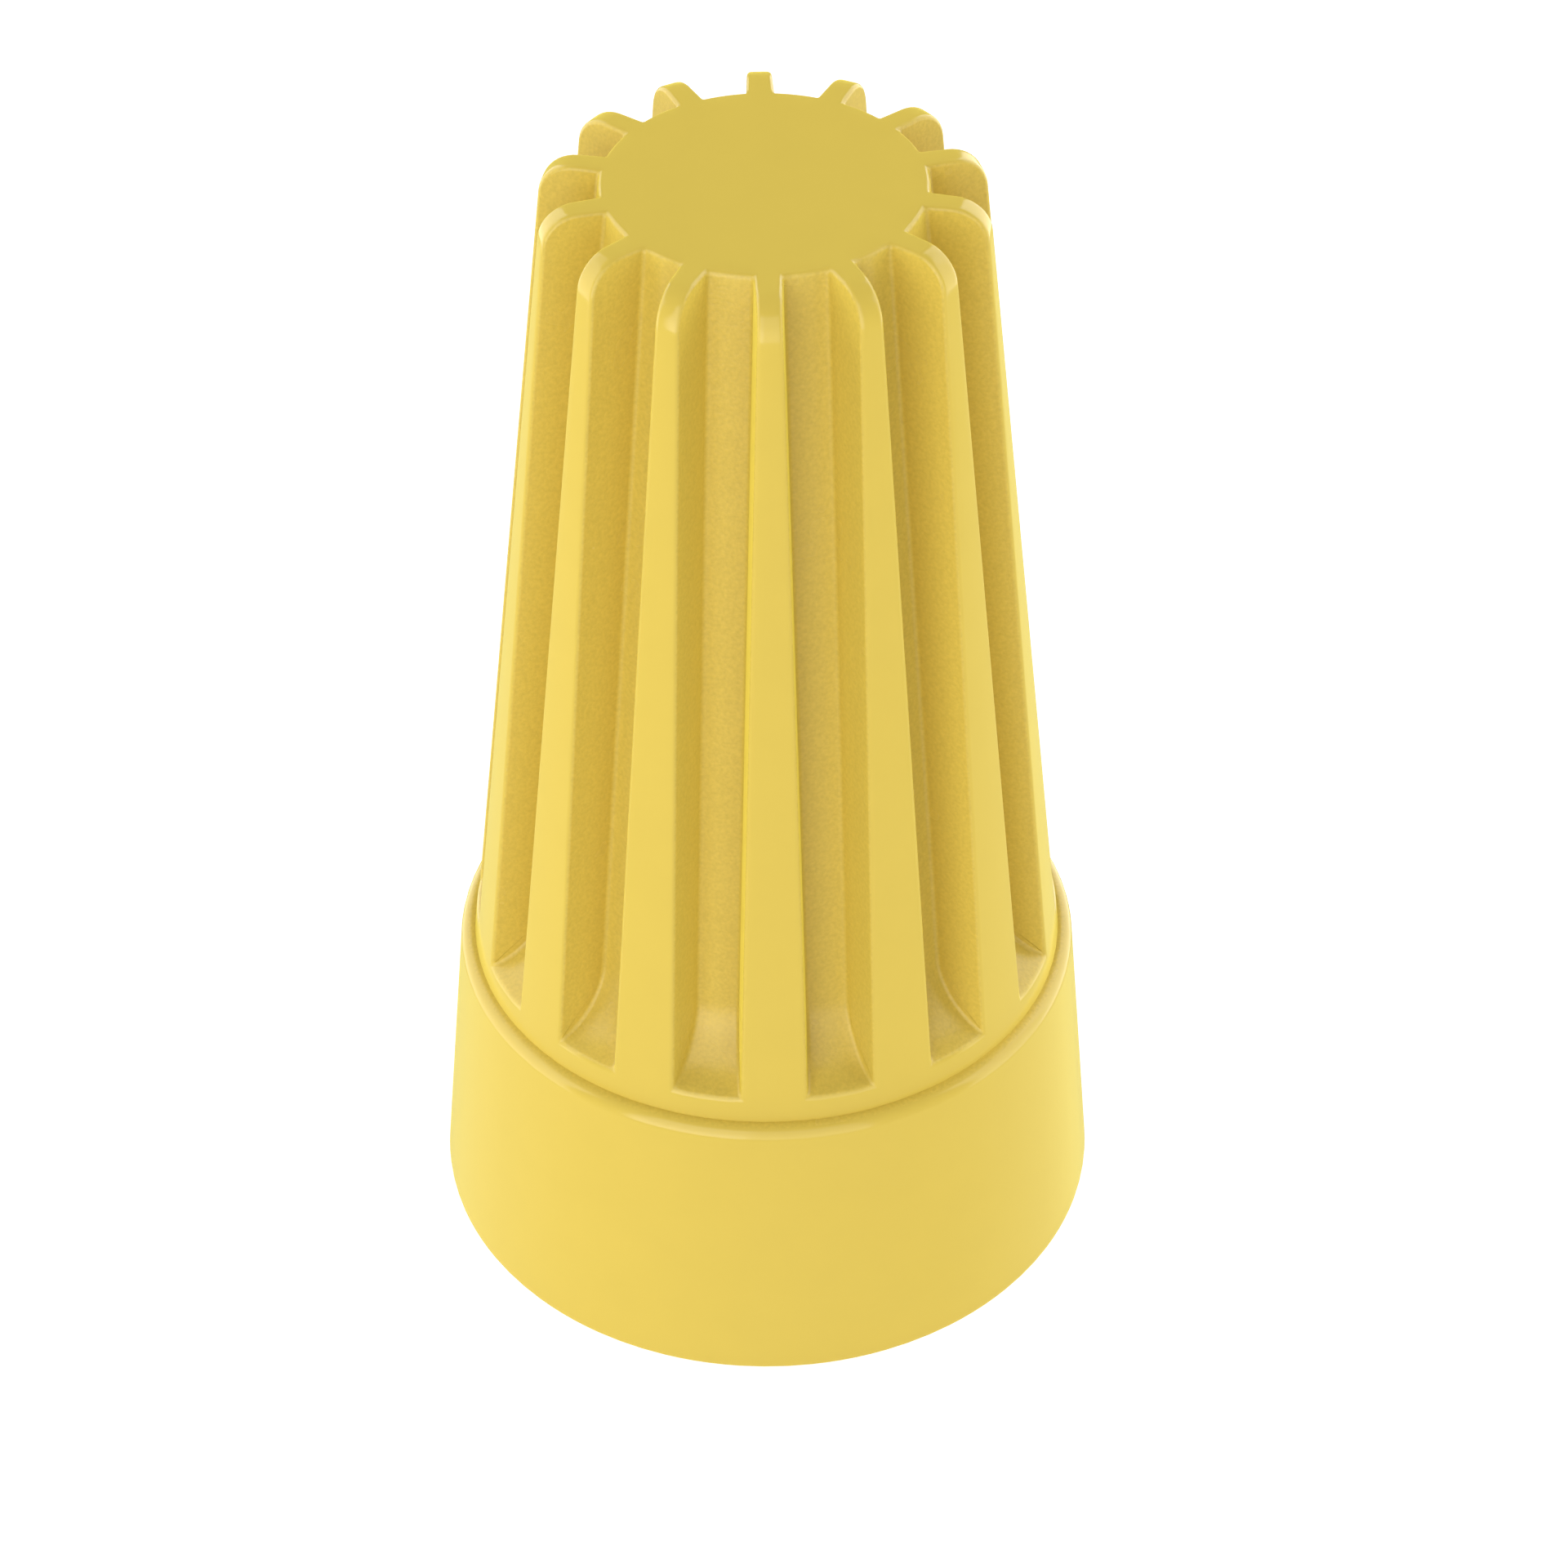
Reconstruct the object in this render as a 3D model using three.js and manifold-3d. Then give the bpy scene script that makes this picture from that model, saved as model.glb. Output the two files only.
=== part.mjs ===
// Twist-on wire connector of the common yellow size: an insulating thermoplastic shell with moulded grip
// ribs and a plain skirt, and the conical spring of square wire that is captive inside it.
// Millimetres. The open rim lies on z = 0 and +Z runs along the axis to the closed crown.
// One grip rib is centred on -Y.
import * as THREE from 'three';
import { mergeVertices } from 'three/addons/utils/BufferGeometryUtils.js';
import Module from 'manifold-3d';

// ---- Driving dimensions: outside of the shell ----
const HEIGHT = 25.4;
const RIM_RADIUS = 7.15;
const SKIRT_TOP_RADIUS = 6.58;      // the skirt's taper, carried up to the shoulder's top
const SHOULDER_Z = 6.55;            // top of the skirt, where the ribbed cone stands on it
const SHOULDER_RADIUS = 0.28;       // round between the skirt and its top
const CONE_BASE_RADIUS = 6.29;
const CONE_TOP_RADIUS = 4.32;       // the cone's taper, carried up to the crown's plane
const CROWN_RADIUS = 0.72;          // round between a rib's outer face and the crown

// ---- Driving dimensions: the pockets between the ribs ----
const RIB_COUNT = 14;
const FLOOR_TOP_RADIUS = 3.15;      // pocket floor at the crown, which is also the crown disc's radius
const FLOOR_SLOPE = 0.111;          // growth of the floor's radius per millimetre downwards
const FLOOR_HALF_WIDTH = 0.44;
const WALL_DRAFT = 0.27;            // growth of the half width per millimetre outwards
const POCKET_BOTTOM_Z = 7.0;        // plane that the scoop at the foot of a pocket would touch
const SCOOP_RADIUS = 1.85;          // the scoop that carries the floor out to the cone

// ---- Driving dimensions: inside of the shell ----
const MOUTH_RADIUS = 5.95;
const MOUTH_CHAMFER = 0.2;
const SKIRT_BORE = { z: 5.1, radius: 5.5 };
const LIP = { bottom: 6.75, top: 7.1, radius: 3.95 };         // ledge that keeps the spring in
const GROOVE = { bottom: 7.4, top: 8.85, radius: 4.5 };       // room for the spring's flared first coil
const SEAT = { bottom: 9.2, top: 21.9, bottomRadius: 4.13, topRadius: 2.75 };
const BORE_END = { z: 22.6, radius: 1.9 };
const KEEPER_COUNT = 4;             // small ribs along the seat that stop the spring from turning
const KEEPER_HEIGHT = 0.1;
const KEEPER_WIDTH = 0.6;

// ---- Driving dimensions: the spring ----
const WIRE_SIDE = 0.9;              // square wire, wound with an edge towards the axis
const SPRING_TURNS = 8.5;
const SPRING_PITCH = 1.5;
const SPRING_START_Z = 8.05;        // wire centre of the first coil
const SPRING_CLEARANCE = 0.15;      // from the seat to the wire's outer edge
const FLARE = 0.3;                  // extra radius at the free end of the first coil
const FLARE_TURNS = 1;

// ---- Fineness of the faceted solids ----
const SEGMENTS_PER_RIB = 6;
const INNER_SEGMENTS = 56;
const ROUND_STEPS = 3;
const SCOOP_STEPS = 6;
const STEPS_PER_TURN = 20;
const CUT_MARGIN = 1;               // how far a cutting solid runs past the surface that it cuts
const WELD = 1e-4;
const LENGTH_SAMPLES_PER_STEP = 4;  // how finely the spring's length is measured, so that its steps are even

const wasm = await Module();
wasm.setup();

// ---- Helpers ----

// A closed three.js geometry as a manifold solid: shared corners welded, slivers on the axis dropped.
function toSolid(geometry) {
  geometry.deleteAttribute('normal');
  geometry.deleteAttribute('uv');
  const welded = mergeVertices(geometry, WELD);
  const index = welded.index.array;
  const corners = [];
  for (let i = 0; i < index.length; i += 3) {
    const [a, b, c] = index.slice(i, i + 3);
    if (a !== b && b !== c && c !== a) corners.push(a, b, c);
  }
  const vertProperties = new Float32Array(welded.attributes.position.array);
  const triVerts = new Uint32Array(corners);
  return new wasm.Manifold(new wasm.Mesh({ numProp: 3, vertProperties, triVerts }));
}

function toGeometry(solid) {
  const mesh = solid.getMesh();
  const geometry = new THREE.BufferGeometry();
  geometry.setAttribute('position', new THREE.BufferAttribute(mesh.vertProperties, 3));
  geometry.setIndex(new THREE.BufferAttribute(mesh.triVerts, 1));
  geometry.computeVertexNormals();
  return geometry;
}

// A solid of revolution about Z. The profile runs upwards in (radius, z), from the axis to the axis.
function revolve(profile, segments) {
  const points = profile.map(([radius, z]) => new THREE.Vector2(radius, z));
  const geometry = new THREE.LatheGeometry(points, segments);
  geometry.rotateX(Math.PI / 2);
  return toSolid(geometry);
}

// A plate of the given thickness whose outline lies in the plane of radius (X) and height (Z).
function radialPlate(outline, thickness) {
  const shape = new THREE.Shape(outline.map(([radius, z]) => new THREE.Vector2(radius, z)));
  const geometry = new THREE.ExtrudeGeometry(shape, { depth: thickness, bevelEnabled: false });
  geometry.translate(0, 0, -thickness / 2);
  geometry.rotateX(Math.PI / 2);
  return geometry;
}

// Points of a circular arc in (radius, z), both ends included.
function arcPoints(centre, radius, fromAngle, toAngle, steps) {
  return Array.from({ length: steps + 1 }, (_, i) => {
    const angle = fromAngle + (toAngle - fromAngle) * i / steps;
    return [centre[0] + radius * Math.cos(angle), centre[1] + radius * Math.sin(angle)];
  });
}

// Copies of a geometry at equal turns about Z.
function around(count, firstAngle, makeGeometry) {
  return Array.from({ length: count }, (_, i) => {
    const geometry = makeGeometry();
    geometry.rotateZ(firstAngle + 2 * Math.PI * i / count);
    return toSolid(geometry);
  });
}

// ---- Shell ----

// Outside of the shell before the pockets are cut: skirt, shoulder, cone and rounded crown.
function shellBlank() {
  const skirtSlope = (RIM_RADIUS - SKIRT_TOP_RADIUS) / SHOULDER_Z;
  const shoulderBottomZ = SHOULDER_Z - SHOULDER_RADIUS;
  const shoulderBottomRadius = RIM_RADIUS - skirtSlope * shoulderBottomZ;
  const shoulderCentre = [shoulderBottomRadius - SHOULDER_RADIUS, shoulderBottomZ];
  const taper = Math.atan2(CONE_BASE_RADIUS - CONE_TOP_RADIUS, HEIGHT - SHOULDER_Z);
  const crownCentre = [
    CONE_TOP_RADIUS + CROWN_RADIUS * ((1 - Math.sin(taper)) * Math.tan(taper) - Math.cos(taper)),
    HEIGHT - CROWN_RADIUS,
  ];
  return revolve([
    [0, 0],
    [RIM_RADIUS, 0],
    ...arcPoints(shoulderCentre, SHOULDER_RADIUS, 0, Math.PI / 2, ROUND_STEPS),
    [CONE_BASE_RADIUS, SHOULDER_Z],
    ...arcPoints(crownCentre, CROWN_RADIUS, taper, Math.PI / 2, ROUND_STEPS),
    [0, HEIGHT],
  ], RIB_COUNT * SEGMENTS_PER_RIB);
}

function floorRadius(z) {
  return FLOOR_TOP_RADIUS + (HEIGHT - z) * FLOOR_SLOPE;
}

// Cutter for one pocket, along +X: a straight floor that a scoop carries outwards at the foot, and side
// walls that open outwards by their draft. The plate starts one millimetre to each side of its middle, so
// that its side faces move out to the pocket's half width by a scale.
function pocketCutter() {
  const lean = Math.atan(FLOOR_SLOPE);
  const tangentZ = POCKET_BOTTOM_Z + SCOOP_RADIUS * (1 - Math.sin(lean));
  const scoopCentre = [
    floorRadius(tangentZ) + SCOOP_RADIUS * Math.cos(lean),
    POCKET_BOTTOM_Z + SCOOP_RADIUS,
  ];
  const topZ = HEIGHT + CUT_MARGIN;
  const outerRadius = RIM_RADIUS + CUT_MARGIN;
  const outline = [
    [outerRadius, topZ],
    [floorRadius(topZ), topZ],
    ...arcPoints(scoopCentre, SCOOP_RADIUS, Math.PI + lean, 1.5 * Math.PI, SCOOP_STEPS),
    [outerRadius, POCKET_BOTTOM_Z],
  ];
  const unitHalfWidth = 1;
  const geometry = radialPlate(outline, 2 * unitHalfWidth);
  const position = geometry.attributes.position;
  for (let i = 0; i < position.count; i++) {
    const depthFromFloor = position.getX(i) - floorRadius(position.getZ(i));
    const halfWidth = FLOOR_HALF_WIDTH + WALL_DRAFT * depthFromFloor;
    position.setY(i, position.getY(i) * halfWidth / unitHalfWidth);
  }
  return geometry;
}

// The hollow of the shell: mouth, funnel, ledge, groove and the tapered seat of the spring.
function cavity() {
  return revolve([
    [0, -CUT_MARGIN],
    [MOUTH_RADIUS + MOUTH_CHAMFER, -CUT_MARGIN],
    [MOUTH_RADIUS + MOUTH_CHAMFER, 0],
    [MOUTH_RADIUS, MOUTH_CHAMFER],
    [SKIRT_BORE.radius, SKIRT_BORE.z],
    [LIP.radius, LIP.bottom],
    [LIP.radius, LIP.top],
    [GROOVE.radius, GROOVE.bottom],
    [GROOVE.radius, GROOVE.top],
    [SEAT.bottomRadius, SEAT.bottom],
    [SEAT.topRadius, SEAT.top],
    [BORE_END.radius, BORE_END.z],
    [0, BORE_END.z],
  ], INNER_SEGMENTS);
}

function seatRadius(z) {
  const slope = (SEAT.bottomRadius - SEAT.topRadius) / (SEAT.top - SEAT.bottom);
  return SEAT.bottomRadius - slope * (z - SEAT.bottom);
}

// One keeper rib along the seat, reaching back into the wall so that it joins it.
function keeperRib() {
  const bottomZ = SEAT.bottom + KEEPER_WIDTH;
  const topZ = SEAT.top;
  const root = KEEPER_HEIGHT * 2;
  return radialPlate([
    [seatRadius(bottomZ) - KEEPER_HEIGHT, bottomZ],
    [seatRadius(bottomZ) + root, bottomZ],
    [seatRadius(topZ) + root, topZ],
    [seatRadius(topZ) - KEEPER_HEIGHT, topZ],
  ], KEEPER_WIDTH);
}

function shellSolid() {
  let shell = shellBlank();
  const firstPocket = -Math.PI / 2 + Math.PI / RIB_COUNT;
  for (const cutter of around(RIB_COUNT, firstPocket, pocketCutter)) shell = shell.subtract(cutter);
  shell = shell.subtract(cavity());
  for (const keeper of around(KEEPER_COUNT, Math.PI / KEEPER_COUNT, keeperRib)) shell = shell.add(keeper);
  return shell;
}

// ---- Spring ----

// Right-handed conical helix of the wire's centre, with frames that keep one wire edge on the axis side.
class SpringCurve extends THREE.Curve {
  constructor() {
    super();
    this.arcLengthDivisions = SPRING_TURNS * STEPS_PER_TURN * LENGTH_SAMPLES_PER_STEP;
  }

  getPoint(t, target = new THREE.Vector3()) {
    const turn = t * SPRING_TURNS;
    const angle = turn * 2 * Math.PI;
    const z = SPRING_START_Z + turn * SPRING_PITCH;
    const flare = FLARE * Math.max(0, 1 - turn / FLARE_TURNS) ** 2;
    const radius = seatRadius(z) - SPRING_CLEARANCE - WIRE_SIDE / Math.SQRT2 + flare;
    return target.set(radius * Math.cos(angle), radius * Math.sin(angle), z);
  }

  computeFrenetFrames(segments) {
    const frames = { tangents: [], normals: [], binormals: [] };
    for (let i = 0; i <= segments; i++) {
      const tangent = this.getTangentAt(i / segments);
      const point = this.getPointAt(i / segments);
      const outward = new THREE.Vector3(point.x, point.y, 0).normalize();
      const binormal = new THREE.Vector3().crossVectors(tangent, outward).normalize();
      frames.tangents.push(tangent);
      frames.normals.push(new THREE.Vector3().crossVectors(binormal, tangent));
      frames.binormals.push(binormal);
    }
    return frames;
  }
}

function springSolid() {
  const reach = WIRE_SIDE / Math.SQRT2;
  const section = new THREE.Shape([[reach, 0], [0, reach], [-reach, 0], [0, -reach]]
    .map(([x, y]) => new THREE.Vector2(x, y)));
  return toSolid(new THREE.ExtrudeGeometry(section, {
    steps: SPRING_TURNS * STEPS_PER_TURN,
    bevelEnabled: false,
    extrudePath: new SpringCurve(),
  }));
}

// ---- The assembly ----

function addPart(group, name, solid, finish) {
  const mesh = new THREE.Mesh(toGeometry(solid), new THREE.MeshStandardMaterial(finish));
  mesh.name = name;
  group.add(mesh);
}

const connector = new THREE.Group();
addPart(connector, 'insulating_shell', shellSolid(), { color: 0xe9cd5c, roughness: 0.45, metalness: 0 });
addPart(connector, 'grip_spring', springSolid(), { color: 0xb9bcc0, roughness: 0.35, metalness: 1 });

export default connector;
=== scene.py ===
"""Looks of a twist-on wire connector: a moulded ribbed shell and the conical spring inside it."""

import math
from collections import namedtuple

import bmesh
import bpy
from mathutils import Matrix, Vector


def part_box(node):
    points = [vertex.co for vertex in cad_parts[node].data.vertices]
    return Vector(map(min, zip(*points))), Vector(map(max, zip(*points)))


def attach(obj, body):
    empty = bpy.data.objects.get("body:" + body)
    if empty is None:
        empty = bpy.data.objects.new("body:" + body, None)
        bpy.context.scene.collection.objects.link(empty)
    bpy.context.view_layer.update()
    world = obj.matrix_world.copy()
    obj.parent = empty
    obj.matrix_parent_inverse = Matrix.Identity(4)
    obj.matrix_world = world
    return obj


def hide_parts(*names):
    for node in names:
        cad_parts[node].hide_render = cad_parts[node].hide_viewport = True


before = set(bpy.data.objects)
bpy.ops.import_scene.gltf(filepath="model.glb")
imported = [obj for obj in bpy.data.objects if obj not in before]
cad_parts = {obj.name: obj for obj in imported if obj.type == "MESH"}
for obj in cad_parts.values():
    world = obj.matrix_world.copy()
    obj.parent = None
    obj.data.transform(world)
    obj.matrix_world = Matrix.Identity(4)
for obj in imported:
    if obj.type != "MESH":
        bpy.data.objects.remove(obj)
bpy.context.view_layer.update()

MM = 0.001

# ---- Sizes: the shell's box gives the height and the rim, and the rest repeats the CAD's dimensions ----
shell_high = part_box("insulating_shell")[1]
HEIGHT = shell_high.z
RIM_RADIUS = shell_high.x

SKIRT_TOP_RADIUS = 6.58 * MM
SHOULDER_Z = 6.55 * MM
SHOULDER_RADIUS = 0.28 * MM
CONE_BASE_RADIUS = 6.29 * MM
CONE_TOP_RADIUS = 4.32 * MM
CROWN_RADIUS = 0.72 * MM

RIB_COUNT = 14
FLOOR_TOP_RADIUS = 3.15 * MM
FLOOR_SLOPE = 0.111
FLOOR_HALF_WIDTH = 0.44 * MM
WALL_DRAFT = 0.27
POCKET_BOTTOM_Z = 7.0 * MM
SCOOP_RADIUS = 1.85 * MM

MOUTH_RADIUS = 5.95 * MM
MOUTH_CHAMFER = 0.2 * MM
SEAT_BOTTOM = (4.13 * MM, 9.2 * MM)
SEAT_TOP = (2.75 * MM, 21.9 * MM)
CAVITY_PROFILE = [
    (5.5 * MM, 5.1 * MM),
    (3.95 * MM, 6.75 * MM),
    (3.95 * MM, 7.1 * MM),
    (4.5 * MM, 7.4 * MM),
    (4.5 * MM, 8.85 * MM),
    SEAT_BOTTOM,
    SEAT_TOP,
    (1.9 * MM, 22.6 * MM),
]
KEEPER_COUNT = 4
KEEPER_HEIGHT = 0.1 * MM
KEEPER_WIDTH = 0.6 * MM

WIRE_SIDE = 0.9 * MM
WIRE_CORNER = 0.07 * MM
SPRING_TURNS = 8.5
SPRING_PITCH = 1.5 * MM
SPRING_START_Z = 8.05 * MM
SPRING_CLEARANCE = 0.15 * MM
FLARE = 0.3 * MM
FLARE_TURNS = 1

# ---- Fineness of the visible meshes ----
EDGE_ROUND = 0.08 * MM
ROUND_SEGMENTS = 4
ROUNDED_TURN = math.radians(30)
WIRE_END_ROUND = 0.04 * MM
WIRE_END_TURN = math.radians(60)
WIRE_CORNER_STEPS = 3
RINGS_PER_TURN = 72
RINGS = round(SPRING_TURNS * RINGS_PER_TURN)
SMALL_TURN = 0.01
DISC_RINGS = (0, 0.3, 0.6, 0.88, 1)
RIB_COLUMNS = 3
POCKET_COLUMNS = 5
STRAIGHT_ROWS = 6
ARC_ROWS = 10
GRAINED_SHOULDER_ROWS = 4
CONE_BASE_ROWS = 2
CAVITY_ROW = 1.5 * MM
SHORT_STEP = 0.12 * MM
WELD = 0.5e-6
HALVINGS = 40
WIDTH_ROUNDS = 20
NORMAL_WEIGHT = 50

# ---- Materials. A finish is a noise, and what it does to the colour, the roughness and the height ----
Finish = namedtuple("Finish", "fineness detail color_spread smoothest roughest depth")
POLISHED = Finish(900, 2, 0.02, 0.1, 0.15, 0.0006 * MM)
GRAINED = Finish(13000, 2, 0.16, 0.22, 0.28, 0.005 * MM)
DRAWN = Finish(9000, 3, 0.12, 0.22, 0.38, 0.002 * MM)
DRAW_LINE_STRETCH = 40
WIRE_PLACE = "wire_place"
CLOUD_FINENESS = 500
CLOUD_DETAIL = 3
NOISE_LOW = 0.3
NOISE_HIGH = 0.7
YELLOW = (0.6, 0.443, 0.076)
PLASTIC_IOR = 1.49
PLASTIC_GLOSS = 0.36
SHEEN = 1
SHEEN_ROUGHNESS = 0.38
SHEEN_TINT = (1, 0.84, 0.13, 1)
STEEL = (0.62, 0.63, 0.65)

# ---- Stage. Angles are in degrees, azimuths count from -Y to +X, lens and sensor are in millimetres ----
CAMERA_AZIMUTH = -1.6
CAMERA_ELEVATION = 40.72
CAMERA_DISTANCE = 97.17 * MM
AIM_SIDEWAYS = 0.375 * MM
AIM_HEIGHT = 10.32 * MM
LENS = 105.79
SENSOR = 36
NEAREST = 1 * MM
FARTHEST = 10

# A panel is a large light far away. Its fades are the widths over which it dies out at its sides and top.
Panel = namedtuple("Panel", "middle half_width side_fade bottom top top_fade strength")
PANELS = [
    Panel(-27, 20, 3, -19, 55, 12, 2.35),
    Panel(-27, 20, 3, -19, 12, 30, 1.4),
    Panel(13, 20, 3, -19, 55, 12, 1.45),
    Panel(13, 20, 3, -19, 12, 30, 0.45),
    Panel(-112, 42, 3, -25, 49.5, 14, 2.4),
    Panel(88, 18, 3, -25, 49.5, 14, 2.1),
    Panel(133, 27, 3, -25, 49.5, 14, 2.9),
    Panel(180, 95, 60, -100, -28, 6, 0.4),
    Panel(0, 85, 60, -100, -24, 4, 0.22),
]
BOTTOM_FADE = 2
FILL_STRENGTH = 0.12
FLOOR_HALF_SIDE = 1
FLOOR_GAP = 0.03 * MM
FLOOR_WHITE = 0.4
FLOOR_GLOW = 0.82

RIB_PITCH = 2 * math.pi / RIB_COUNT
CONE_TAPER = math.atan2(CONE_BASE_RADIUS - CONE_TOP_RADIUS, HEIGHT - SHOULDER_Z)
FLOOR_LEAN = math.atan(FLOOR_SLOPE)
SKIRT_SLOPE = (RIM_RADIUS - SKIRT_TOP_RADIUS) / SHOULDER_Z


# ---- Profiles, as lists of (radius, z) ----

def between(start, end, steps):
    """Points on a straight line, without its first one."""
    return [tuple(a + (b - a) * i / steps for a, b in zip(start, end)) for i in range(1, steps + 1)]


def straight(start, end, steps):
    """Like between, with a short step at each end that keeps the shading of the curves out of the line."""
    short = SHORT_STEP / math.dist(start, end)
    shares = [short] + [i / steps for i in range(1, steps)] + [1 - short, 1]
    return [tuple(a + (b - a) * share for a, b in zip(start, end)) for share in shares]


def arc(centre, radius, start_angle, end_angle, steps):
    """Points on a circular arc, both ends included."""
    turn = (end_angle - start_angle) / steps
    angles = [start_angle + turn * i for i in range(steps + 1)]
    return [(centre[0] + radius * math.cos(a), centre[1] + radius * math.sin(a)) for a in angles]


def cone_radius(z):
    return CONE_TOP_RADIUS + (HEIGHT - z) * math.tan(CONE_TAPER)


def floor_radius(z):
    return FLOOR_TOP_RADIUS + (HEIGHT - z) * FLOOR_SLOPE


def seat_radius(z):
    share = (z - SEAT_BOTTOM[1]) / (SEAT_TOP[1] - SEAT_BOTTOM[1])
    return SEAT_BOTTOM[0] + (SEAT_TOP[0] - SEAT_BOTTOM[0]) * share


def scoop_centre():
    tangent_z = POCKET_BOTTOM_Z + SCOOP_RADIUS * (1 - math.sin(FLOOR_LEAN))
    radius = floor_radius(tangent_z) + SCOOP_RADIUS * math.cos(FLOOR_LEAN)
    return (radius, POCKET_BOTTOM_Z + SCOOP_RADIUS)


def pocket_foot():
    """Where the scoop meets the cone: the angle on the scoop and the point."""
    centre = scoop_centre()
    low, high = math.pi + FLOOR_LEAN, 1.5 * math.pi
    for _ in range(HALVINGS):
        middle = (low + high) / 2
        radius, z = arc(centre, SCOOP_RADIUS, middle, middle, 1)[0]
        low, high = (middle, high) if radius < cone_radius(z) else (low, middle)
    return middle, (cone_radius(z), z)


def rib_profile():
    """Top and outer face of a rib, from the crown disc outwards and down to the foot of the pockets."""
    tangent_z = HEIGHT - CROWN_RADIUS * (1 - math.sin(CONE_TAPER))
    centre = (cone_radius(tangent_z) - CROWN_RADIUS * math.cos(CONE_TAPER), HEIGHT - CROWN_RADIUS)
    start = (FLOOR_TOP_RADIUS, HEIGHT)
    crown = arc(centre, CROWN_RADIUS, math.pi / 2, CONE_TAPER, ARC_ROWS)
    top = [start] + straight(start, crown[0], 1)[:-1]
    return top + crown + straight(crown[-1], pocket_foot()[1], STRAIGHT_ROWS)


def floor_profile():
    """Floor of a pocket, from the crown disc down and out through the scoop to the foot."""
    foot_angle, foot = pocket_foot()
    scoop = arc(scoop_centre(), SCOOP_RADIUS, math.pi + FLOOR_LEAN, foot_angle, ARC_ROWS)
    start = (FLOOR_TOP_RADIUS, HEIGHT)
    return [start] + straight(start, scoop[0], STRAIGHT_ROWS) + scoop[1:-1] + [foot]


def cone_base_profile():
    """From the foot of the pockets down the cone to the shoulder."""
    foot = pocket_foot()[1]
    return [foot] + between(foot, (CONE_BASE_RADIUS, SHOULDER_Z), CONE_BASE_ROWS)


def shoulder_profile():
    """From the cone out over the shoulder and round its edge."""
    bottom_z = SHOULDER_Z - SHOULDER_RADIUS
    bottom_radius = RIM_RADIUS - SKIRT_SLOPE * bottom_z
    edge = arc((bottom_radius - SHOULDER_RADIUS, bottom_z), SHOULDER_RADIUS, math.pi / 2, 0, ARC_ROWS)
    return [(CONE_BASE_RADIUS, SHOULDER_Z)] + edge


def skirt_profile():
    """From the lower part of the shoulder's edge down to the rim."""
    edge = shoulder_profile()[GRAINED_SHOULDER_ROWS:]
    return edge + straight(edge[-1], (RIM_RADIUS, 0), STRAIGHT_ROWS)


def cavity_profile():
    """From the rim's outer edge across the rim and up the hollow to its closed end."""
    corners = [(MOUTH_RADIUS + MOUTH_CHAMFER, 0), (MOUTH_RADIUS, MOUTH_CHAMFER)] + CAVITY_PROFILE
    profile = [(RIM_RADIUS, 0), corners[0]]
    for start, end in zip(corners, corners[1:]):
        steps = max(1, round(math.dist(start, end) / CAVITY_ROW))
        profile += between(start, end, steps)
    return profile


# ---- Meshes ----

def pocket_half_angle(radius, z):
    """Half the angle that a pocket takes at that radius and height, seen from the axis."""
    half_width = FLOOR_HALF_WIDTH
    for _ in range(WIDTH_ROUNDS):
        reach = math.sqrt(radius ** 2 - half_width ** 2)
        half_width = FLOOR_HALF_WIDTH + WALL_DRAFT * (reach - floor_radius(z))
    return math.asin(half_width / radius)


def polar(radius, angle, z):
    return Vector((radius * math.cos(angle), radius * math.sin(angle), z))


def new_object(name, vertices, faces, grained=(), weld=0):
    """An object with one smooth closed mesh. Points nearer than the weld become one."""
    mesh = bpy.data.meshes.new(name)
    mesh.from_pydata(vertices, [], faces)
    if grained:
        mesh.polygons.foreach_set("material_index", [int(g) for g in grained])
    work = bmesh.new()
    work.from_mesh(mesh)
    if weld:
        bmesh.ops.remove_doubles(work, verts=work.verts, dist=weld)
        bmesh.ops.dissolve_degenerate(work, edges=work.edges, dist=weld)
    bmesh.ops.recalc_face_normals(work, faces=work.faces)
    for face in work.faces:
        face.smooth = True
    work.to_mesh(mesh)
    work.free()
    obj = bpy.data.objects.new(name, mesh)
    bpy.context.scene.collection.objects.link(obj)
    return obj


class Skin:
    """Faces of a closed surface. Points that coincide are welded when the object is made."""

    def __init__(self):
        self.points = []
        self.faces = []
        self.grained = []

    def face(self, points, grained=False):
        first = len(self.points)
        self.points += points
        self.faces.append(list(range(first, first + len(points))))
        self.grained.append(grained)

    def grid(self, rows, grained=False):
        for upper, lower in zip(rows, rows[1:]):
            for i in range(len(upper) - 1):
                self.face([upper[i], lower[i], lower[i + 1], upper[i + 1]], grained)

    def to_object(self, name):
        return new_object(name, self.points, self.faces, self.grained, WELD)


def fan(centre_angle, half_angle, columns):
    """Angles across a span."""
    return [centre_angle + half_angle * (2 * i / columns - 1) for i in range(columns + 1)]


def rib_angles(radius, z, centre):
    return fan(centre, RIB_PITCH / 2 - pocket_half_angle(radius, z), RIB_COLUMNS)


def pocket_angles(radius, z, centre):
    return fan(centre, pocket_half_angle(radius, z), POCKET_COLUMNS)


def ring_angles(radius, z):
    """Angles once round, with the columns that the ribs and the pockets have at that radius and height."""
    angles = []
    for k in range(RIB_COUNT):
        centre = -math.pi / 2 + k * RIB_PITCH
        angles += rib_angles(radius, z, centre)[:-1]
        angles += pocket_angles(radius, z, centre + RIB_PITCH / 2)[:-1]
    return angles + [angles[0] + 2 * math.pi]


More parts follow.
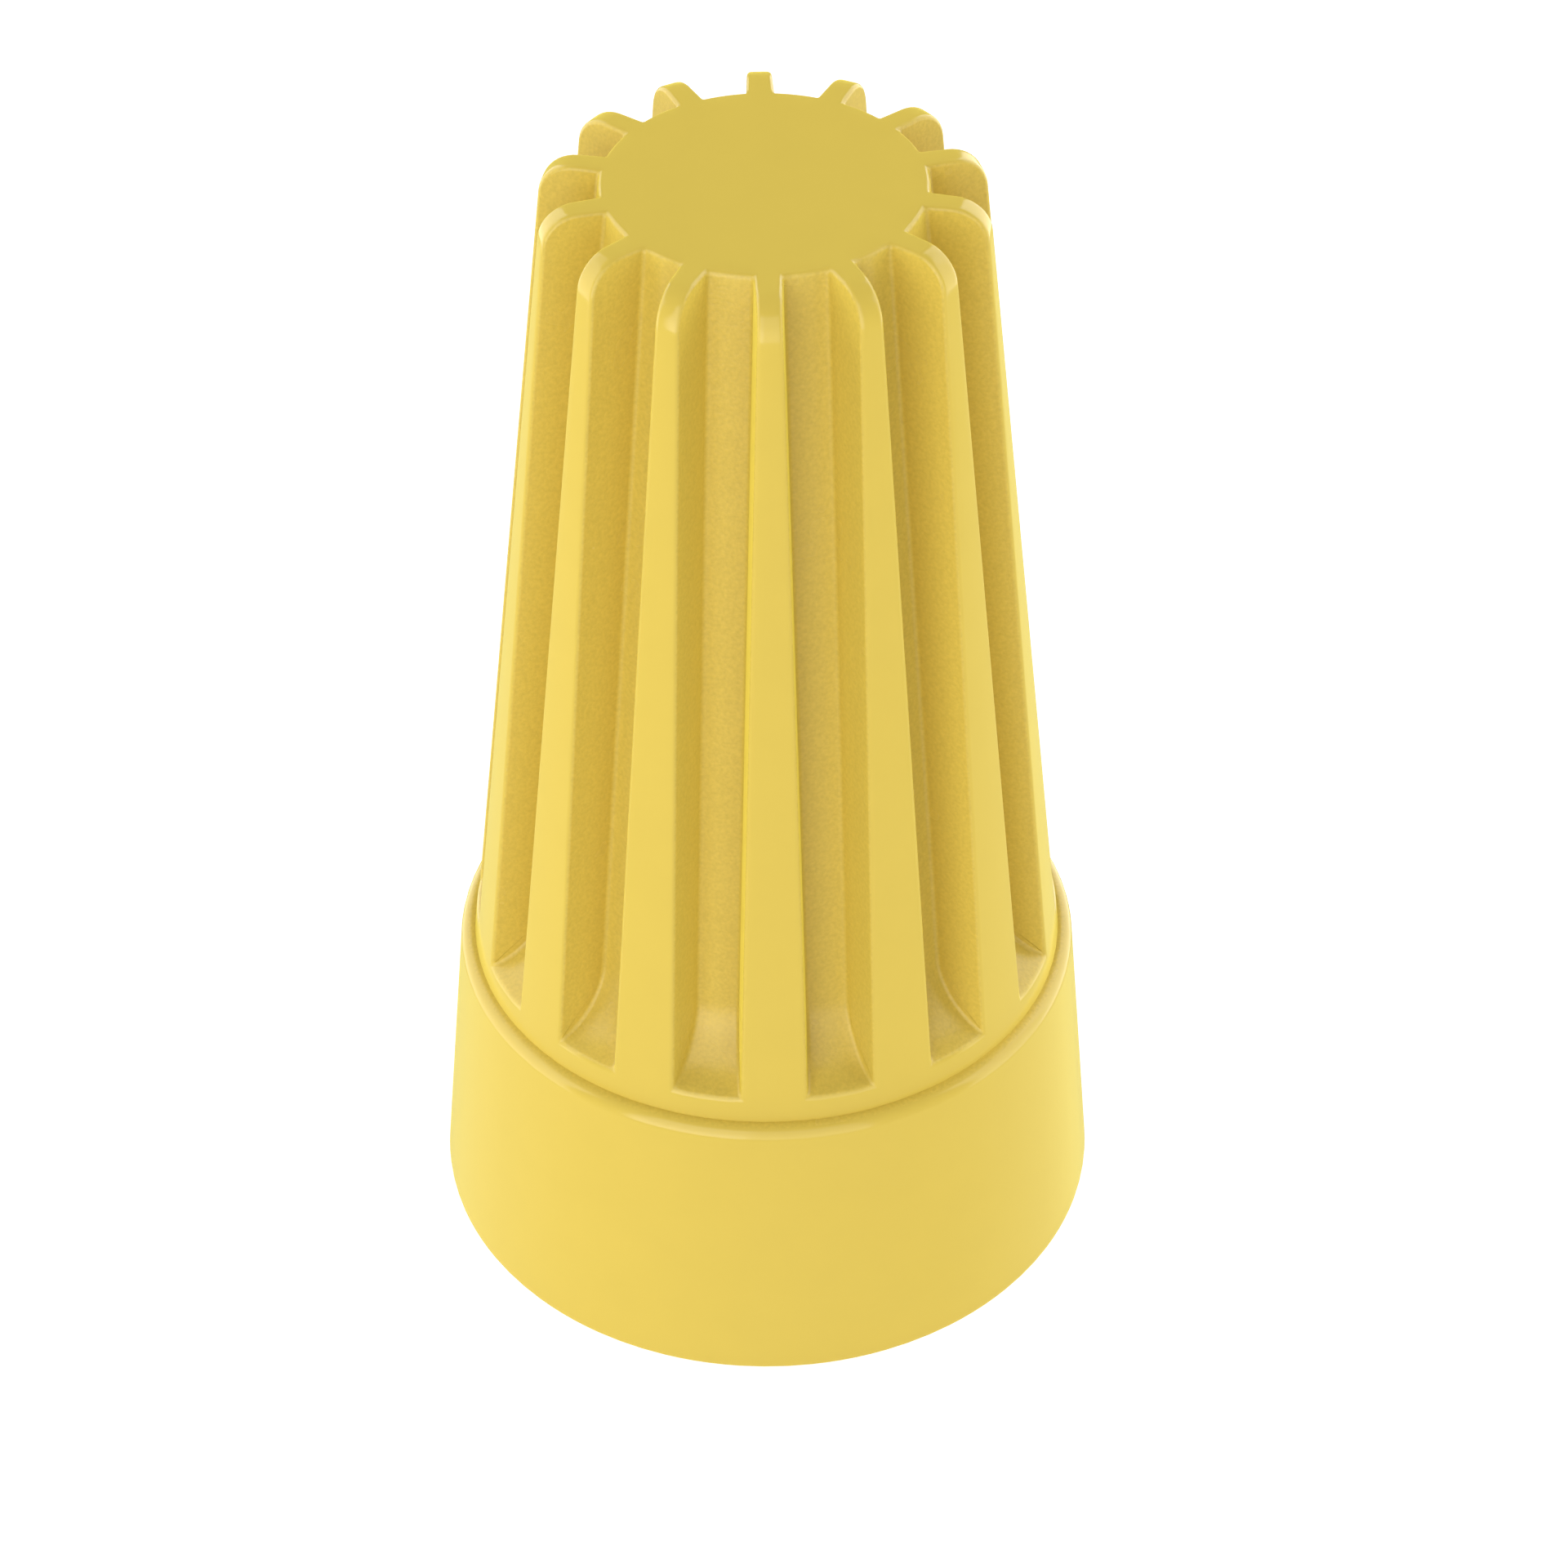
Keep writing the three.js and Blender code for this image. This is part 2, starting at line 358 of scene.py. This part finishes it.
def add_wall(skin, outer, floor, place):
    """A pocket's wall, from a rib's outline to the floor's, cut across at their straight rows."""
    inner = floor[1:-1]
    first = len(outer) - STRAIGHT_ROWS - 1
    across = [(first + i, 1 + i) for i in range(STRAIGHT_ROWS - 1)]
    cuts = [(0, 0)] + across + [(len(outer) - 1, len(inner))]
    for (top, start), (bottom, end) in zip(cuts, cuts[1:]):
        outline = outer[top:bottom + 1] + inner[start:end + 1][::-1]
        skin.face([place(r, z) for r, z in outline], grained=True)


def add_rib_and_pocket(skin, centre):
    """One rib's top and outer face, the pocket beside it, and the pocket's two walls."""
    outer, floor = rib_profile(), floor_profile()
    middle = centre + RIB_PITCH / 2
    skin.grid([[polar(r, a, z) for a in rib_angles(r, z, centre)] for r, z in outer])
    skin.grid([[polar(r, a, z) for a in pocket_angles(r, z, middle)] for r, z in floor], grained=True)
    for side in (-1, 1):
        add_wall(skin, outer, floor, lambda r, z: polar(r, middle + side * pocket_half_angle(r, z), z))


def keeper_inset(radius, angle, z):
    """How far the keeper ribs stand in from the seat at that angle."""
    if not SEAT_BOTTOM[1] < z < SEAT_TOP[1]:
        return 0
    spacing = 2 * math.pi / KEEPER_COUNT
    off_centre = angle % spacing - spacing / 2
    return KEEPER_HEIGHT if abs(off_centre * radius) < KEEPER_WIDTH / 2 else 0


def add_crown_disc(skin):
    angles = ring_angles(FLOOR_TOP_RADIUS, HEIGHT)
    skin.grid([[polar(FLOOR_TOP_RADIUS * share, a, HEIGHT) for a in angles] for share in DISC_RINGS])


def add_rings(skin, profile, grained=False):
    """Rings once round the axis, with the columns of the foot of the pockets."""
    angles = ring_angles(*pocket_foot()[1])
    skin.grid([[polar(r - keeper_inset(r, a, z), a, z) for a in angles] for r, z in profile], grained)


def round_edges(obj, width, smallest_angle, keep_sharp=lambda edge: False):
    """Rounds the edges that turn by more than the smallest angle, and creases the ones to keep sharp."""
    rounded = obj.data.attributes.new("bevel_weight_edge", "FLOAT", "EDGE")
    creased = obj.data.attributes.new("sharp_edge", "BOOLEAN", "EDGE")
    work = bmesh.new()
    work.from_mesh(obj.data)
    turns = [e.is_manifold and e.calc_face_angle() > smallest_angle for e in work.edges]
    sharp = [keep_sharp(e) for e in work.edges]
    work.free()
    rounded.data.foreach_set("value", [float(turn and not keep) for turn, keep in zip(turns, sharp)])
    creased.data.foreach_set("value", [turn and keep for turn, keep in zip(turns, sharp)])
    bevel = obj.modifiers.new("rounded edges", "BEVEL")
    bevel.width = width
    bevel.segments = ROUND_SEGMENTS
    bevel.limit_method = "WEIGHT"
    bevel.use_clamp_overlap = False
    bevel.miter_outer = "MITER_SHARP"
    shading = obj.modifiers.new("even shading", "WEIGHTED_NORMAL")
    shading.weight = NORMAL_WEIGHT
    shading.keep_sharp = True


def in_shoulder_corner(edge):
    """The inner corner where the cone stands on the shoulder."""
    reach = CONE_BASE_RADIUS + WELD
    return all(abs(v.co.z - SHOULDER_Z) < WELD and v.co.xy.length < reach for v in edge.verts)


def make_shell():
    skin = Skin()
    add_crown_disc(skin)
    for k in range(RIB_COUNT):
        add_rib_and_pocket(skin, -math.pi / 2 + k * RIB_PITCH)
    add_rings(skin, cone_base_profile())
    add_rings(skin, shoulder_profile()[:GRAINED_SHOULDER_ROWS + 1], grained=True)
    add_rings(skin, skirt_profile())
    add_rings(skin, cavity_profile() + [(0, CAVITY_PROFILE[-1][1])])
    shell = skin.to_object("ribbed_shell")
    round_edges(shell, EDGE_ROUND, ROUNDED_TURN, in_shoulder_corner)
    return shell


def spring_point(turn):
    """Centre of the wire after that many turns."""
    z = SPRING_START_Z + turn * SPRING_PITCH
    flare = FLARE * max(0, 1 - turn / FLARE_TURNS) ** 2
    radius = seat_radius(z) - SPRING_CLEARANCE - WIRE_SIDE / math.sqrt(2) + flare
    return polar(radius, 2 * math.pi * turn, z)


def wire_section():
    """Outline of the square wire, one corner towards the axis, with its corners rounded."""
    reach = (WIRE_SIDE / 2 - WIRE_CORNER) * math.sqrt(2)
    outline = []
    for corner in range(4):
        middle = corner * math.pi / 2
        centre = (reach * math.cos(middle), reach * math.sin(middle))
        outline += arc(centre, WIRE_CORNER, middle - math.pi / 4, middle + math.pi / 4, WIRE_CORNER_STEPS)
    return outline


def make_spring():
    """The wire as rings of points. Each keeps its place along the wire and across it, for the draw lines."""
    section = wire_section()
    vertices, places = [], []
    travelled = 0
    for i in range(RINGS + 1):
        turn = i / RINGS_PER_TURN
        point = spring_point(turn)
        along = spring_point(turn + SMALL_TURN) - spring_point(turn - SMALL_TURN)
        travelled += along.length / (2 * SMALL_TURN * RINGS_PER_TURN)
        along.normalize()
        outward = Vector((point.x, point.y, 0)).normalized()
        upward = outward.cross(along).normalized()
        outward = along.cross(upward)
        vertices += [point + outward * x - upward * y for x, y in section]
        places += [(travelled / DRAW_LINE_STRETCH, x, y) for x, y in section]
    count = len(section)
    faces = [list(range(count)), list(range(RINGS * count, (RINGS + 1) * count))]
    for first in range(0, RINGS * count, count):
        for j in range(count):
            k = (j + 1) % count
            faces.append([first + j, first + k, first + count + k, first + count + j])
    spring = new_object("square_wire_spring", vertices, faces)
    kept = spring.data.attributes.new(WIRE_PLACE, "FLOAT_VECTOR", "POINT")
    kept.data.foreach_set("vector", [c for place in places for c in place])
    round_edges(spring, WIRE_END_ROUND, WIRE_END_TURN)
    return spring


# ---- Materials ----

def noise(tree, place, scale, detail):
    texture = tree.nodes.new("ShaderNodeTexNoise")
    texture.inputs["Scale"].default_value = scale
    texture.inputs["Detail"].default_value = detail
    tree.links.new(place, texture.inputs["Vector"])
    return texture.outputs["Fac"]


def spread_over(tree, value, low, high):
    """Spreads the usual values of a noise over a range."""
    ramp = tree.nodes.new("ShaderNodeMapRange")
    ramp.inputs["From Min"].default_value = NOISE_LOW
    ramp.inputs["From Max"].default_value = NOISE_HIGH
    ramp.inputs["To Min"].default_value = low
    ramp.inputs["To Max"].default_value = high
    tree.links.new(value, ramp.inputs["Value"])
    return ramp.outputs["Result"]


def shaded(tree, value, color, spread):
    """The colour, darker and lighter by that share of it as the value goes from 0 to 1."""
    mix = tree.nodes.new("ShaderNodeMix")
    mix.data_type = "RGBA"
    mix.inputs["A"].default_value = (*(c * (1 - spread) for c in color), 1)
    mix.inputs["B"].default_value = (*(c * (1 + spread) for c in color), 1)
    tree.links.new(value, mix.inputs["Factor"])
    return mix.outputs["Result"]


def bumped(tree, value, depth):
    bump = tree.nodes.new("ShaderNodeBump")
    bump.inputs["Distance"].default_value = depth
    tree.links.new(value, bump.inputs["Height"])
    return bump.outputs["Normal"]


def new_material(name):
    """A material, its node tree and its shader."""
    material = bpy.data.materials.new(name)
    material.use_nodes = True
    return material, material.node_tree, material.node_tree.nodes["Principled BSDF"]


def finished(tree, shader, place, color, finish):
    """Gives the surface the finish's colour and height, and returns the finish's noise."""
    texture = noise(tree, place, finish.fineness, finish.detail)
    tree.links.new(shaded(tree, texture, color, finish.color_spread), shader.inputs["Base Color"])
    tree.links.new(bumped(tree, texture, finish.depth), shader.inputs["Normal"])
    return texture


def yellow_plastic(name, finish):
    """Moulded plastic with the finish of its part of the mould, more and less glossy in soft clouds.

    The sheen stands for light that comes through the slightly clear plastic where a face is seen edge-on.
    """
    material, tree, shader = new_material(name)
    place = tree.nodes.new("ShaderNodeTexCoord").outputs["Object"]
    finished(tree, shader, place, YELLOW, finish)
    cloud = noise(tree, place, CLOUD_FINENESS, CLOUD_DETAIL)
    roughness = spread_over(tree, cloud, finish.smoothest, finish.roughest)
    tree.links.new(roughness, shader.inputs["Roughness"])
    shader.inputs["IOR"].default_value = PLASTIC_IOR
    shader.inputs["Specular IOR Level"].default_value = PLASTIC_GLOSS
    shader.inputs["Sheen Weight"].default_value = SHEEN
    shader.inputs["Sheen Roughness"].default_value = SHEEN_ROUGHNESS
    shader.inputs["Sheen Tint"].default_value = SHEEN_TINT
    return material


def spring_steel():
    """Plated wire with fine draw lines along it."""
    material, tree, shader = new_material("zinc_plated_steel")
    place = tree.nodes.new("ShaderNodeAttribute")
    place.attribute_name = WIRE_PLACE
    lines = finished(tree, shader, place.outputs["Vector"], STEEL, DRAWN)
    roughness = spread_over(tree, lines, DRAWN.smoothest, DRAWN.roughest)
    tree.links.new(roughness, shader.inputs["Roughness"])
    shader.inputs["Metallic"].default_value = 1
    return material


# ---- Stage ----

def make_camera():
    azimuth, elevation = math.radians(CAMERA_AZIMUTH), math.radians(CAMERA_ELEVATION)
    sideways = Vector((math.cos(azimuth), math.sin(azimuth), 0))
    towards_camera = Vector((math.sin(azimuth), -math.cos(azimuth), 0))
    back = towards_camera * math.cos(elevation) + Vector((0, 0, math.sin(elevation)))
    target = sideways * AIM_SIDEWAYS + Vector((0, 0, AIM_HEIGHT))
    camera = bpy.data.objects.new("camera", bpy.data.cameras.new("camera"))
    bpy.context.scene.collection.objects.link(camera)
    camera.location = target + back * CAMERA_DISTANCE
    camera.rotation_euler = (-back).to_track_quat("-Z", "Y").to_euler()
    camera.data.lens = LENS
    camera.data.sensor_width = SENSOR
    camera.data.clip_start = NEAREST
    camera.data.clip_end = FARTHEST
    bpy.context.scene.camera = camera


def make_floor():
    """A pale floor that glows upwards, shows no reflection in the object, and is clear from below."""
    mesh = bpy.data.meshes.new("floor")
    half, z = FLOOR_HALF_SIDE, -FLOOR_GAP
    corners = [(-half, -half, z), (half, -half, z), (half, half, z), (-half, half, z)]
    mesh.from_pydata(corners, [], [(0, 1, 2, 3)])
    floor = bpy.data.objects.new("floor", mesh)
    bpy.context.scene.collection.objects.link(floor)
    floor.visible_glossy = False
    material, tree, shader = new_material("white_floor")
    shader.inputs["Base Color"].default_value = (FLOOR_WHITE, FLOOR_WHITE, FLOOR_WHITE, 1)
    shader.inputs["Specular IOR Level"].default_value = 0
    shader.inputs["Emission Color"].default_value = (1, 1, 1, 1)
    shader.inputs["Emission Strength"].default_value = FLOOR_GLOW
    clear = tree.nodes.new("ShaderNodeBsdfTransparent")
    side = tree.nodes.new("ShaderNodeNewGeometry")
    mix = tree.nodes.new("ShaderNodeMixShader")
    tree.links.new(side.outputs["Backfacing"], mix.inputs["Fac"])
    tree.links.new(shader.outputs["BSDF"], mix.inputs[1])
    tree.links.new(clear.outputs["BSDF"], mix.inputs[2])
    tree.links.new(mix.outputs["Shader"], tree.nodes["Material Output"].inputs["Surface"])
    mesh.materials.append(material)


def fade(tree, value, zero_at, one_at):
    """Runs smoothly from 0 to 1 as the value runs between the two limits, in degrees."""
    ramp = tree.nodes.new("ShaderNodeMapRange")
    ramp.interpolation_type = "SMOOTHSTEP"
    ramp.inputs["From Min"].default_value = math.radians(zero_at)
    ramp.inputs["From Max"].default_value = math.radians(one_at)
    tree.links.new(value, ramp.inputs["Value"])
    return ramp.outputs["Result"]


def calculate(tree, operation, first, second):
    """The output of a Math node. The second operand is a socket or a number."""
    math_node = tree.nodes.new("ShaderNodeMath")
    math_node.operation = operation
    tree.links.new(first, math_node.inputs[0])
    if isinstance(second, (int, float)):
        math_node.inputs[1].default_value = second
    else:
        tree.links.new(second, math_node.inputs[1])
    return math_node.outputs["Value"]


def panel_light(tree, level_direction, elevation, panel):
    """Strength of one panel in each direction."""
    towards = tree.nodes.new("ShaderNodeVectorMath")
    towards.operation = "DOT_PRODUCT"
    middle = math.radians(panel.middle)
    towards.inputs[1].default_value = (math.sin(middle), -math.cos(middle), 0)
    tree.links.new(level_direction, towards.inputs[0])
    off_middle = calculate(tree, "ARCCOSINE", towards.outputs["Value"], 0)
    side_fade, top_fade = panel.side_fade / 2, panel.top_fade / 2
    across = fade(tree, off_middle, panel.half_width + side_fade, panel.half_width - side_fade)
    above = fade(tree, elevation, panel.bottom - BOTTOM_FADE / 2, panel.bottom + BOTTOM_FADE / 2)
    below = fade(tree, elevation, panel.top + top_fade, panel.top - top_fade)
    light = calculate(tree, "MULTIPLY", across, calculate(tree, "MULTIPLY", above, below))
    return calculate(tree, "MULTIPLY", light, panel.strength)


def add_panels(tree, level_direction, elevation):
    """Strength of all the panels and the weak light from everywhere, in each direction."""
    light = panel_light(tree, level_direction, elevation, PANELS[0])
    for panel in PANELS[1:]:
        light = calculate(tree, "ADD", light, panel_light(tree, level_direction, elevation, panel))
    return calculate(tree, "ADD", light, FILL_STRENGTH)


def make_light():
    """The panels round the object, with dark gaps between them. The camera sees plain white behind them."""
    world = bpy.data.worlds.new("studio")
    bpy.context.scene.world = world
    world.use_nodes = True
    tree = world.node_tree
    direction = tree.nodes.new("ShaderNodeTexCoord").outputs["Generated"]
    parts = tree.nodes.new("ShaderNodeSeparateXYZ")
    tree.links.new(direction, parts.inputs["Vector"])
    elevation = calculate(tree, "ARCSINE", parts.outputs["Z"], 0)
    flat = tree.nodes.new("ShaderNodeVectorMath")
    flat.operation = "MULTIPLY"
    flat.inputs[1].default_value = (1, 1, 0)
    tree.links.new(direction, flat.inputs[0])
    level = tree.nodes.new("ShaderNodeVectorMath")
    level.operation = "NORMALIZE"
    tree.links.new(flat.outputs["Vector"], level.inputs[0])
    light = add_panels(tree, level.outputs["Vector"], elevation)
    seen = tree.nodes.new("ShaderNodeLightPath").outputs["Is Camera Ray"]
    background = tree.nodes["Background"]
    tree.links.new(calculate(tree, "MAXIMUM", light, seen), background.inputs["Strength"])
    background.inputs["Color"].default_value = (1, 1, 1, 1)


bpy.context.scene.view_settings.view_transform = "Standard"
make_camera()
make_floor()
make_light()

shell = make_shell()
shell.data.materials.append(yellow_plastic("polished_plastic", POLISHED))
shell.data.materials.append(yellow_plastic("grained_plastic", GRAINED))
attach(shell, "root")
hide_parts("insulating_shell")

spring = make_spring()
spring.data.materials.append(spring_steel())
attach(spring, "root")
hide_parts("grip_spring")
